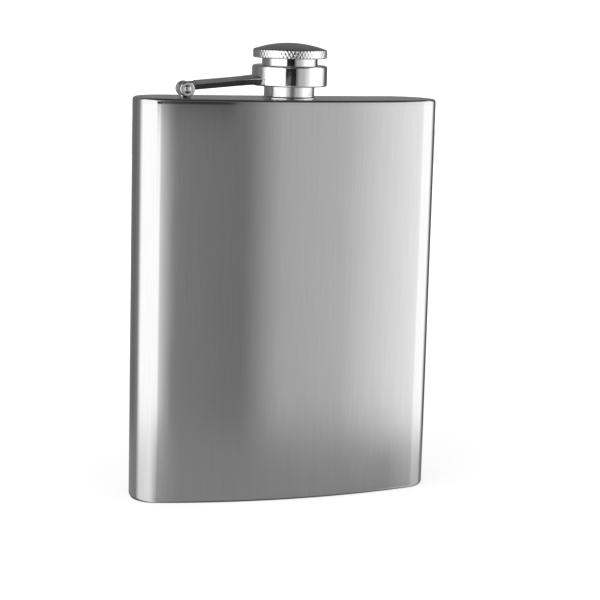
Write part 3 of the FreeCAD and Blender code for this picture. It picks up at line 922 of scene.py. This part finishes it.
def lit_paper(shade):
    """Seamless paper: matt, with a glow that grows away from the flask until the paper is white."""
    material, tree = new_material("seamless_studio_paper")
    dim_within, white_beyond, dimmest = 0.1, 0.4, 0.74
    where = place(tree, "ShaderNodeTexCoord")
    away = place(tree, "ShaderNodeVectorMath", {0: where.outputs["Object"]}, operation="LENGTH")
    glow = place(tree, "ShaderNodeMapRange", {"Value": away.outputs["Value"], "From Min": dim_within,
                                              "From Max": white_beyond, "To Min": dimmest,
                                              "To Max": 1.0}, interpolation_type="SMOOTHSTEP")
    lamp = place(tree, "ShaderNodeEmission", {"Color": (*shade, 1.0), "Strength": glow.outputs[0]})
    matt = place(tree, "ShaderNodeBsdfDiffuse", {"Color": (0.25, 0.25, 0.25, 1.0)})
    both = place(tree, "ShaderNodeAddShader", {0: lamp.outputs[0], 1: matt.outputs[0]})
    finish_material(tree, both)
    return material


def contact_shade(half_width, half_depth):
    """Dark patch that only reflections see, where the flask keeps light off the table."""
    material, tree = new_material("shade_under_the_flask")
    full_within, gone_beyond = 0.97, 1.07
    where = place(tree, "ShaderNodeTexCoord")
    squeeze = (1 / half_width, 1 / half_depth, 0.0)
    flat = place(tree, "ShaderNodeVectorMath", {0: where.outputs["Object"], 1: squeeze},
                 operation="MULTIPLY")
    away = place(tree, "ShaderNodeVectorMath", {0: flat.outputs[0]}, operation="LENGTH")
    clear = place(tree, "ShaderNodeMapRange", {"Value": away.outputs["Value"], "From Min": full_within,
                                               "From Max": gone_beyond},
                  interpolation_type="SMOOTHSTEP")
    dark = place(tree, "ShaderNodeEmission", {"Color": (0.1, 0.1, 0.1, 1.0), "Strength": 1.0})
    nothing = place(tree, "ShaderNodeBsdfTransparent")
    both = place(tree, "ShaderNodeMixShader", {0: clear.outputs[0], 1: dark.outputs[0],
                                               2: nothing.outputs[0]})
    finish_material(tree, both)
    profile = np.array([(0.0001, -0.05 * MM), (2 * half_width, -0.05 * MM)])
    made = studio_surface("contact_shade", lathe(profile, 48), material)
    made.visible_camera = False
    made.visible_glossy = True
    return made


def overhead_light():
    """Wide, soft light from above, kept out of the steel's reflections."""
    data = bpy.data.lights.new("overhead", "SUN")
    data.angle = math.radians(70)
    data.energy = 2.6
    lamp = add_object("overhead", data)
    lamp.rotation_euler = (math.radians(14), math.radians(-10), 0)
    lamp.visible_glossy = False


# ---- operators ----

class FLASK_OT_vessel(bpy.types.Operator):
    """Make the wrap, the lid and the base of the vessel"""
    bl_idname = "flask.vessel"
    bl_label = "Vessel"

    def execute(self, context):
        s = context.scene.flask_vessel
        sheet = brushed_sheet(context.scene.flask_finishes)
        lid = satin_lid(context.scene.flask_finishes)
        piece("vessel_wrap", [(wrap_shell(s), True)], "flask", ["body_wrap"], sheet)
        piece("vessel_lid", [(lid_shell(s), True)], "flask", ["top_plate"], lid)
        piece("vessel_base", [(base_shell(s), False)], "flask", ["base_plate"], sheet)
        return {"FINISHED"}


class FLASK_OT_neck(bpy.types.Operator):
    """Make the threaded neck"""
    bl_idname = "flask.neck"
    bl_label = "Neck"

    def execute(self, context):
        s = context.scene.flask_neck
        steel = polished_turning("buffed_turned_stainless", context.scene.flask_finishes, 0.17, 0.23)
        piece("threaded_neck", [(neck_shell(s, context.scene.flask_vessel.plate), True)],
              "flask", ["neck"], steel)
        return {"FINISHED"}


class FLASK_OT_hinge(bpy.types.Operator):
    """Make the hinge post and the riveted pin"""
    bl_idname = "flask.hinge"
    bl_label = "Hinge"

    def execute(self, context):
        s = context.scene.flask_hinge
        steel = tumbled_casting(context.scene.flask_finishes)
        foot = post_foot_shell(s, context.scene.flask_vessel.plate)
        piece("hinge_knuckle", [(knuckle_shell(s), False), (foot, False)],
              "flask", ["hinge_post"], steel)
        piece("riveted_pin", [(pin_shell(s), False)], "arm", ["hinge_pin"], steel)
        return {"FINISHED"}


class FLASK_OT_arm(bpy.types.Operator):
    """Make the forked arm that carries the collar"""
    bl_idname = "flask.arm"
    bl_label = "Arm"

    def execute(self, context):
        s = context.scene.flask_hinge
        cap = context.scene.flask_cap
        steel = tumbled_casting(context.scene.flask_finishes)
        shells = [(bar_shell(s, cap.collar, cap.collar_bottom), False)]
        for side in (-1, 1):
            shells += [(tine_shell(s, side), False), (eye_shell(s, side), False)]
        piece("forked_arm", shells, "arm", ["cap_arm"], steel)
        return {"FINISHED"}


class FLASK_OT_cap(bpy.types.Operator):
    """Make the collar, the threaded skirt, the gasket and the knurled knob"""
    bl_idname = "flask.cap"
    bl_label = "Cap"

    def execute(self, context):
        s = context.scene.flask_cap
        colours = context.scene.flask_finishes
        polished = polished_turning("mirror_polished_stainless", colours, 0.04, 0.08)
        piece("captive_collar", [(collar_shell(s), True)], "arm", ["cap_collar"],
              polished)
        piece("threaded_skirt", [(skirt_shell(s, context.scene.flask_neck.pitch), True)],
              "cap", ["cap_skirt"], polished)
        low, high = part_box("cap_gasket")
        piece("sealing_gasket", [(gasket_shell(low.z, high.z, high.x), False)], "seal",
              ["cap_gasket"], silicone(colours))
        piece("knurled_knob", [(knob_shell(s), False)], "cap", ["cap_knob"],
              knurled_turning(colours, s.skirt_top + s.band - 0.2 * MM), crease=60)
        return {"FINISHED"}


class FLASK_OT_stage(bpy.types.Operator):
    """Make the floor, the light, the surroundings that the steel mirrors, and the camera"""
    bl_idname = "flask.stage"
    bl_label = "Studio"

    def execute(self, context):
        s = context.scene.flask_stage
        vessel = context.scene.flask_vessel
        studio_surface("seamless_floor", cove(), lit_paper(context.scene.flask_finishes.floor))
        contact_shade(vessel.half_width, vessel.half_depth)
        overhead_light()
        context.scene.world = studio_world(s.strength)
        context.scene.camera = studio_camera(s)
        context.scene.view_settings.view_transform = "Standard"
        return {"FINISHED"}


class FLASK_PT_panel(bpy.types.Panel):
    """Buttons for each group of pieces, in the order they are made"""
    bl_idname = "FLASK_PT_panel"
    bl_label = "Hip flask"
    bl_space_type = "VIEW_3D"
    bl_region_type = "UI"
    bl_category = "Flask"

    def draw(self, context):
        for operator in OPERATORS:
            self.layout.operator(operator.bl_idname)
        for name in GROUPS:
            box = self.layout.box()
            box.label(text=name.removeprefix("flask_").capitalize())
            group = getattr(context.scene, name)
            for prop in group.__annotations__:
                box.prop(group, prop)


GROUPS = {
    "flask_vessel": VesselSizes,
    "flask_neck": NeckSizes,
    "flask_hinge": HingeSizes,
    "flask_cap": CapSizes,
    "flask_finishes": Finishes,
    "flask_stage": StageSettings,
}
OPERATORS = [FLASK_OT_vessel, FLASK_OT_neck, FLASK_OT_hinge, FLASK_OT_arm, FLASK_OT_cap,
             FLASK_OT_stage]


def register():
    for name, group in GROUPS.items():
        bpy.utils.register_class(group)
        setattr(bpy.types.Scene, name, PointerProperty(type=group))
    for operator in OPERATORS:
        bpy.utils.register_class(operator)
    bpy.utils.register_class(FLASK_PT_panel)


def unregister():
    bpy.utils.unregister_class(FLASK_PT_panel)
    for operator in reversed(OPERATORS):
        bpy.utils.unregister_class(operator)
    for name, group in GROUPS.items():
        delattr(bpy.types.Scene, name)
        bpy.utils.unregister_class(group)


def main():
    register()
    bpy.ops.flask.stage()
    bpy.ops.flask.vessel()
    bpy.ops.flask.neck()
    bpy.ops.flask.hinge()
    bpy.ops.flask.arm()
    bpy.ops.flask.cap()


if __name__ == "__main__":
    main()
